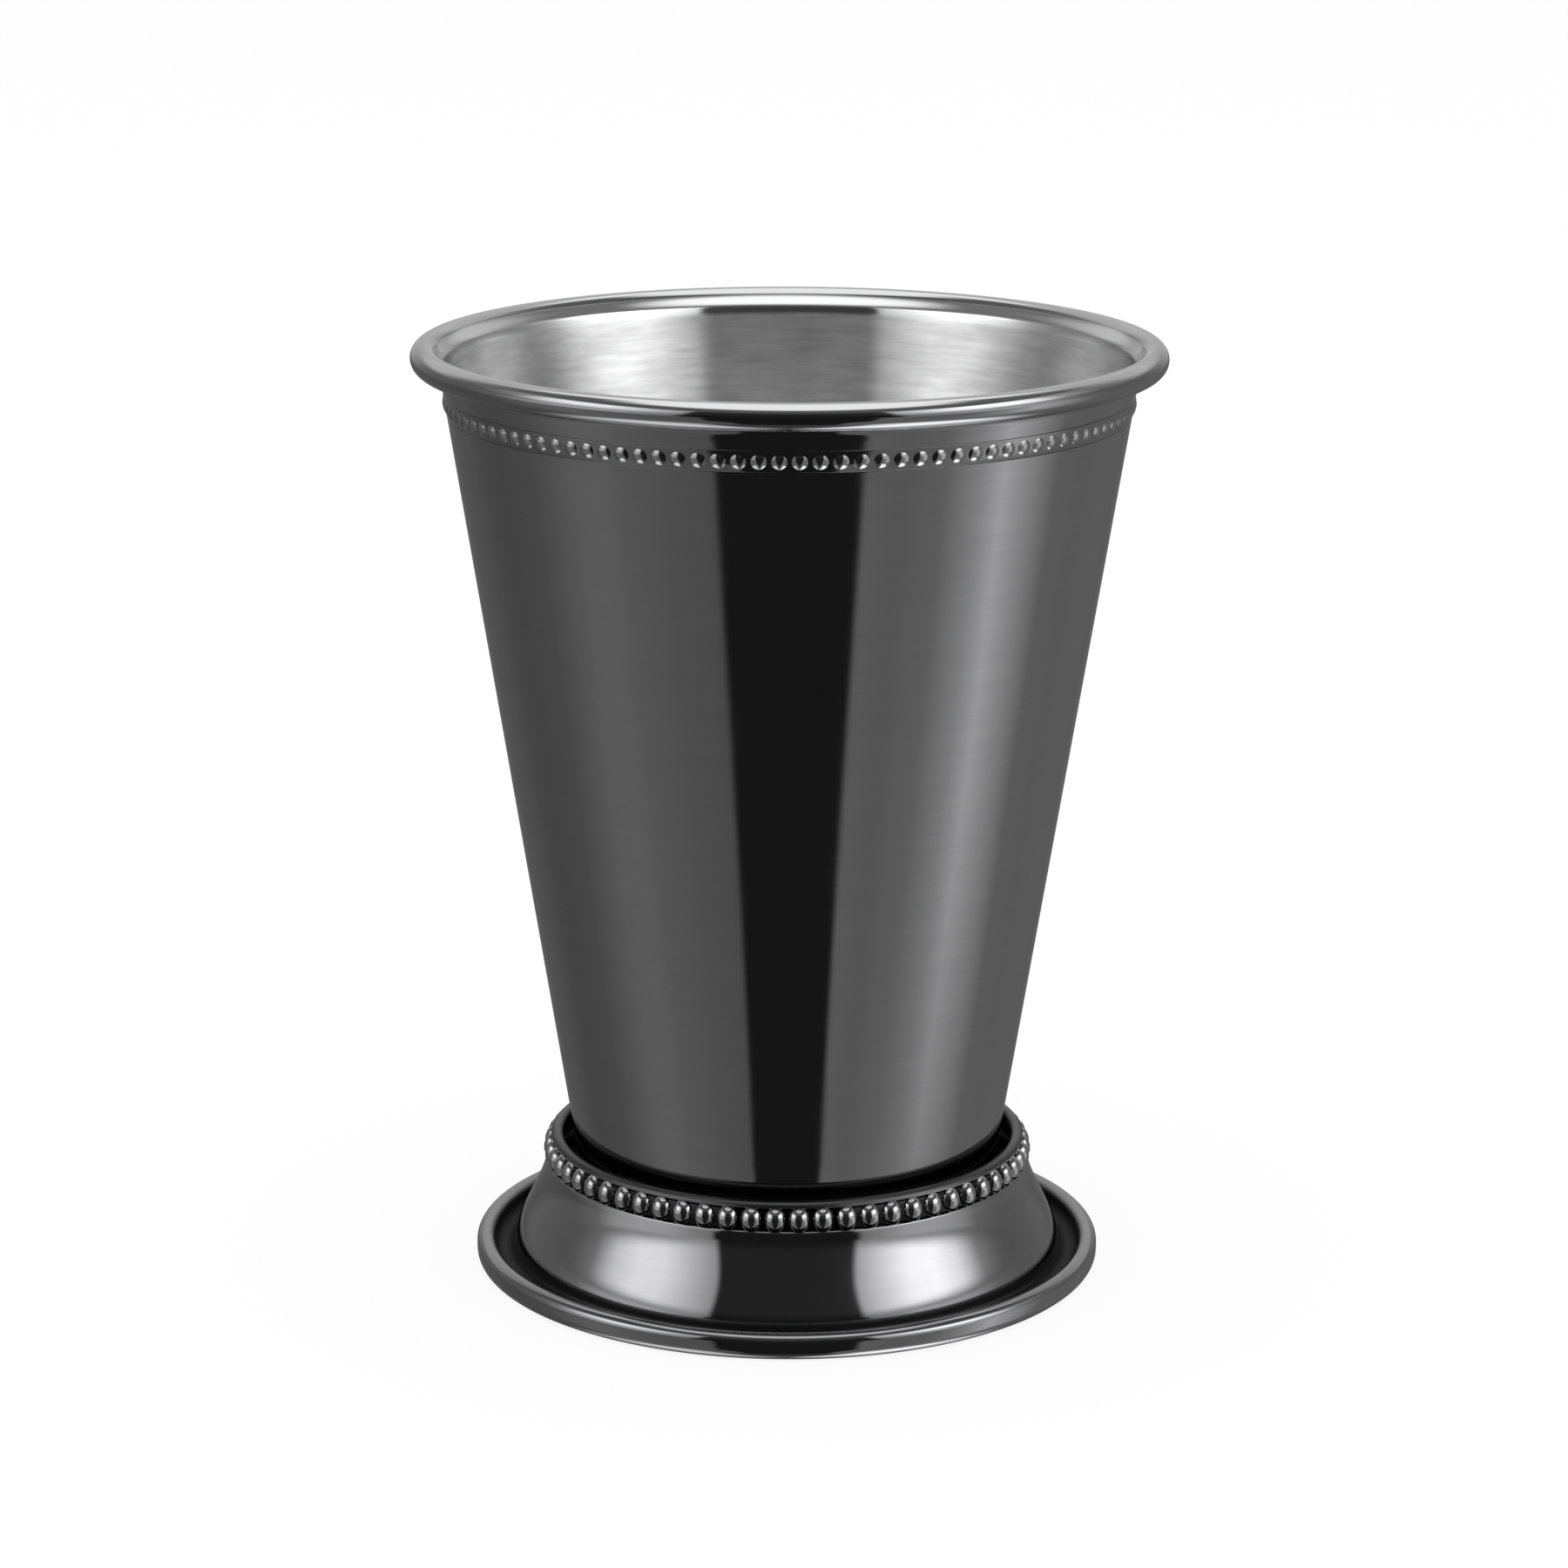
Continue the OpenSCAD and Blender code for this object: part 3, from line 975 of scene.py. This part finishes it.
# %% [markdown]
# One function makes both rows. The strip lies in its groove with a hair of room for the solder, and the
# beads stand on the strip's face.

# %% Make the two bead rows
STRIP_CREASE = 60


def make_bead_row(name, back, out, up, width, thickness, values):
    """A row of beads on a strip whose back lies at the given place."""
    half = up * width / 2
    face = back + out * thickness
    strip_line = rounded([back - half, face - half, face + half, back + half], EDGE_ROUND, 2)
    values = {**values, "Row Radius": face.x, "Row Height": face.y}
    row_piece = turn_piece(name, bead_row, strip_line, values, STRIP_CREASE)
    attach(row_piece, "root")
    return row_piece


rim_beads = make_bead_row(
    "rim_beads",
    rim_bead_place - wall_out * (RIM_GROOVE_DEPTH - SOLDER_GAP),
    wall_out,
    wall_up,
    RIM_GROOVE_WIDTH - 2 * SOLDER_GAP,
    RIM_STRIP,
    {**RIM_BEAD_SHAPE, "Lean": wall_lean, "Metal": rim_bead_nickel},
)
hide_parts("rim_bead_band")
foot_beads = make_bead_row(
    "foot_beads",
    foot_bead_place - collar_out * (FOOT_GROOVE_DEPTH - SOLDER_GAP),
    collar_out,
    -collar_down,
    FOOT_GROOVE_WIDTH - 2 * SOLDER_GAP,
    FOOT_STRIP,
    {**FOOT_BEAD_SHAPE, "Lean": -collar_lean, "Metal": foot_bead_nickel},
)
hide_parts("foot_bead_band")

# %% [markdown]
# The seat plate is the small pressed disc inside the foot that the cup's bottom is brazed to. Only the
# underside shows it, so it keeps its CAD shape and gets plain pressed steel.

# %% Finish the seat plate
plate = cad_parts["seat_plate"]
for spot in plate.material_slots:
    spot.material = pressed_steel
print("seat plate is", plate.material_slots[0].material.name)

# %% [markdown]
# The camera stands where the photographer's did: just over half a metre away and looking down 14 degrees.
# Its lens is long, so the rim and the foot keep nearly their true widths.

# %% Camera
SENSOR_WIDTH = 36
LENS = 109
CAMERA_PLACE = Vector((-0.0005, -0.54647, 0.19891))
AIM = Vector((-0.0005, 0, 0.0586))
CAMERA_ROLL = 0.172

camera_data = bpy.data.cameras.new("camera")
camera_data.sensor_width = SENSOR_WIDTH
camera_data.lens = LENS
camera = bpy.data.objects.new("camera", camera_data)
bpy.context.collection.objects.link(camera)
turn_to = (AIM - CAMERA_PLACE).to_track_quat("-Z", "Y").to_matrix().to_4x4()
roll = Matrix.Rotation(math.radians(CAMERA_ROLL), 4, "Z")
camera.matrix_world = Matrix.Translation(CAMERA_PLACE) @ turn_to @ roll
bpy.context.scene.camera = camera
print("camera stands", round((AIM - CAMERA_PLACE).length, 3), "m from the cup")

# %% [markdown]
# Polished metal has no look of its own: it shows the room. Photographers build that room on purpose, with
# white panels at the sides for the bright bands and black cloth in front for the dark stripe.
# The world shader plays that room. It works from two angles only: how far round from the front a ray goes,
# and how high it points. The camera itself sees plain white.

# %% The two angles of the studio
world = bpy.data.worlds.new("studio")
bpy.context.scene.world = world
world.use_nodes = True
sky = world.node_tree
sky.nodes.clear()
sky_x, sky_y, sky_z = parts(sky, put(sky, "ShaderNodeTexCoord", "Generated"))
to_front = sums(sky, "MULTIPLY", sky_y, -1.0)
round_angle = sums(sky, "ARCTAN2", sums(sky, "ABSOLUTE", sky_x), to_front)
round_degrees = sums(sky, "DEGREES", round_angle)
high_degrees = sums(sky, "DEGREES", sums(sky, "ARCSINE", sky_z))
on_right = sums(sky, "GREATER_THAN", sky_x, 0.0)
print("world:", world.name)


# %% [markdown]
# A wall of the room is a list of stops: an angle round from the front, and how bright the room is there.
# Between the stops the light changes evenly. Two walls are joined by a soft step.

# %% Helpers that set the light of the room
def wall_of_light(name, angle, stops):
    """Brightness read off an angle in degrees, straight between the stops given."""
    curve_node = sky.nodes.new("ShaderNodeFloatCurve")
    curve_node.label = name
    curve_points = curve_node.mapping.curves[0].points
    top = max(level for _, level in stops)
    for _ in range(len(stops) - 2):
        curve_points.new(0.5, 0.5)
    for point, (degrees, level) in zip(curve_points, stops):
        point.location = (degrees / 180, level / top)
        point.handle_type = "VECTOR"
    curve_node.mapping.update()
    value_or_link(sky, curve_node.inputs["Value"], sums(sky, "DIVIDE", angle, 180.0))
    return sums(sky, "MULTIPLY", curve_node.outputs[0], top)


def fade(value, start, end, start_level=0.0, end_level=1.0):
    """A soft step between two values."""
    return put(
        sky,
        "ShaderNodeMapRange",
        settings={"interpolation_type": "SMOOTHSTEP"},
        Value=value,
        From_Min=start,
        From_Max=end,
        To_Min=start_level,
        To_Max=end_level,
    )


def mixed(share, first, second):
    """First where share is 0, second where it is 1."""
    return sums(sky, "MULTIPLY_ADD", sums(sky, "SUBTRACT", second, first), share, first)


# %% [markdown]
# The room is lighter on the right than on the left. The right side is a share that fades out towards the
# middle of the front and the middle of the back, so that no seam shows there.
# Below the horizon are a grey table and black cloth in front, which narrows the lower a ray goes.
# A glow lies low on the right, and the floor close to the cup is bright.

# %% Room below the horizon
CLOTH_NARROWS = (-27.0, -39.0)
CLOTH_NARROWS_BY = 7.5
GLOW_RISES = (-39.0, -25.0)
FLOOR_STARTS = (-46.0, -58.0)
FLOOR_RIGHT_GAIN = 1.7
RIGHT_STARTS = (12.0, 32.0)
RIGHT_ENDS = (172.0, 150.0)

right_share = sums(sky, "MULTIPLY", on_right, fade(round_degrees, *RIGHT_STARTS))
right_share = sums(sky, "MULTIPLY", right_share, fade(round_degrees, *RIGHT_ENDS))
narrowing = sums(sky, "MULTIPLY", fade(high_degrees, *CLOTH_NARROWS), CLOTH_NARROWS_BY)
low_round = sums(sky, "ADD", narrowing, round_degrees)
left_low = wall_of_light("left table", low_round, [
    (0, 0.03), (25, 0.03), (27.5, 0.27), (40, 0.3), (60, 0.36), (70, 0.42), (80, 0.4), (100, 0.25),
    (120, 0.2), (140, 0.2), (156, 0.16), (180, 0.14)])
right_low = wall_of_light("right table", low_round, [
    (0, 0.03), (25, 0.03), (27.5, 0.4), (40, 0.36), (60, 0.46), (72, 0.52), (80, 0.54), (90, 0.48),
    (100, 0.42), (120, 0.34), (140, 0.28), (156, 0.18), (180, 0.14)])
right_glow = wall_of_light("right glow", low_round, [
    (0, 0), (56, 0), (70, 0.35), (80, 0.8), (90, 0.45), (106, 0), (180, 0)])
right_glow = sums(sky, "MULTIPLY", right_glow, fade(high_degrees, *GLOW_RISES))
low_level = mixed(on_right, left_low, sums(sky, "ADD", right_low, right_glow))
floor_light = wall_of_light("floor by the cup", round_degrees, [
    (0, 0.15), (30, 0.2), (40, 1.4), (60, 2.2), (80, 2.3), (100, 1.6), (120, 0.9), (150, 0.4),
    (180, 0.22)])
floor_light = mixed(right_share, floor_light, sums(sky, "MULTIPLY", floor_light, FLOOR_RIGHT_GAIN))
under_level = mixed(fade(high_degrees, *FLOOR_STARTS), low_level, floor_light)
print("room below the horizon:", len(sky.nodes), "nodes so far")

# %% [markdown]
# Above the horizon the light stands in three layers: a strip at eye height, the panels' lower edge, and
# the panels themselves, which are the brightest. Over them is the ceiling, and behind the cup stands a back
# wall that gets lighter as it rises.

# %% Room above the horizon
STRIP_ENDS = (6.0, 10.0)
PANELS_START = (9.0, 20.0)
PANELS_END = (33.0, 43.0)
CEILING_STARTS = (58.0, 70.0)
BACK_STARTS = (120.0, 145.0)
BACK_RISES = (40.0, 56.0)
HORIZON = (-8.0, -1.0)
LEFT_PANEL_GAIN = 2.9
RIGHT_PANEL_GAIN = 3.9
DIM_LEVEL = 0.2
BACK_LEVEL = 0.75
CEILING_LEVEL = 1.7

eye_strip = wall_of_light("strip at eye height", round_degrees, [
    (0, 0.03), (32.5, 0.03), (35, 0.6), (44, 0.8), (57, 1.2), (70, 1.25), (84, 1.0), (97, 0.45),
    (112, 0.32), (145, 0.3), (180, 0.6)])
panel_edge = wall_of_light("panels' lower edge", round_degrees, [
    (0, 0.03), (30.5, 0.03), (33, 0.7), (40, 0.9), (55, 0.95), (75, 0.85), (90, 0.5), (104, 0.32),
    (140, 0.25), (180, 0.6)])
panels = wall_of_light("panels", round_degrees, [
    (0, 0.02), (30.5, 0.02), (33, 0.35), (45, 0.62), (58, 0.95), (70, 1.0), (82, 0.75), (94, 0.22),
    (110, 0.1), (180, 0.1)])
left_panels = sums(sky, "MULTIPLY", panels, LEFT_PANEL_GAIN)
right_panels = sums(sky, "MULTIPLY", panels, RIGHT_PANEL_GAIN)
panel_level = mixed(right_share, left_panels, right_panels)
ceiling = fade(high_degrees, *CEILING_STARTS, DIM_LEVEL, CEILING_LEVEL)
high_level = mixed(fade(high_degrees, *PANELS_END), panel_level, ceiling)
back_wall = fade(high_degrees, *BACK_RISES, BACK_LEVEL, CEILING_LEVEL)
high_level = mixed(fade(round_degrees, *BACK_STARTS), high_level, back_wall)
near_level = mixed(fade(high_degrees, *STRIP_ENDS), eye_strip, panel_edge)
upper_level = mixed(fade(high_degrees, *PANELS_START), near_level, high_level)
level = mixed(fade(high_degrees, *HORIZON), under_level, upper_level)
print("whole room:", len(sky.nodes), "nodes")

# %% [markdown]
# Glossy rays get the room. The camera and every other ray get plain white at a strength of 1.

# %% Which ray sees what
PURE_WHITE = (1, 1, 1, 1)

choice = put(
    sky,
    "ShaderNodeMixShader",
    i0=put(sky, "ShaderNodeLightPath", "Is Glossy Ray"),
    i1=put(sky, "ShaderNodeBackground", Color=PURE_WHITE, Strength=1.0),
    i2=put(sky, "ShaderNodeBackground", Color=PURE_WHITE, Strength=level),
)
sky_out = sky.nodes.new("ShaderNodeOutputWorld")
sky.links.new(choice, sky_out.inputs["Surface"])
print("glossy rays see the room and the camera sees white")

# %% [markdown]
# The floor is plain white. It is mostly its own light to the camera, so it melts into the background, and
# a small share of it is an ordinary white surface that keeps the cup's soft shadow. From below it is clear,
# so that the underside of the foot can be looked at.

# %% Floor
FLOOR_REACH = 6.0
FLOOR_WHITE = (0.9, 0.9, 0.9, 1)
GLOW_SHARE = 0.88

floor_mesh = bpy.data.meshes.new("floor")
floor_corners = [(-1, -1), (1, -1), (1, 1), (-1, 1)]
floor_places = [(FLOOR_REACH * a, FLOOR_REACH * b, 0) for a, b in floor_corners]
floor_mesh.from_pydata(floor_places, [], [(0, 1, 2, 3)])
floor = bpy.data.objects.new("floor", floor_mesh)
bpy.context.collection.objects.link(floor)
floor_white = bpy.data.materials.new("white_floor")
floor_white.use_nodes = True
tree = floor_white.node_tree
tree.nodes.clear()
paths = tree.nodes.new("ShaderNodeLightPath").outputs
seen = sums(tree, "MAXIMUM", paths["Is Camera Ray"], paths["Is Transmission Ray"])
from_above = put(
    tree,
    "ShaderNodeMixShader",
    i0=sums(tree, "MULTIPLY", seen, GLOW_SHARE),
    i1=put(tree, "ShaderNodeBsdfDiffuse", Color=FLOOR_WHITE),
    i2=put(tree, "ShaderNodeEmission", Color=PURE_WHITE, Strength=1.0),
)
both_sides = put(
    tree,
    "ShaderNodeMixShader",
    i0=put(tree, "ShaderNodeNewGeometry", "Backfacing"),
    i1=from_above,
    i2=put(tree, "ShaderNodeBsdfTransparent"),
)
floor_out = tree.nodes.new("ShaderNodeOutputMaterial")
tree.links.new(both_sides, floor_out.inputs["Surface"])
floor_mesh.materials.append(floor_white)
floor.visible_glossy = False
print("floor is", round(2 * FLOOR_REACH), "m wide")

# %% [markdown]
# One broad soft lamp overhead gives the floor its gentle shadow. The metal doesn't show it.

# %% Lamp
LAMP_WIDTH = 1.2
LAMP_WATTS = 6
LAMP_PLACE = (0, -0.2, 1.4)

lamp_data = bpy.data.lights.new("overhead", "AREA")
lamp_data.shape = "DISK"
lamp_data.size = LAMP_WIDTH
lamp_data.energy = LAMP_WATTS
lamp = bpy.data.objects.new("overhead", lamp_data)
lamp.location = LAMP_PLACE
lamp.visible_glossy = False
bpy.context.collection.objects.link(lamp)
print("lamp hangs", LAMP_PLACE[2], "m above the table")

# %% [markdown]
# Colours are shown as written, with the Standard view.

# %% View of the colours
bpy.context.scene.view_settings.view_transform = "Standard"
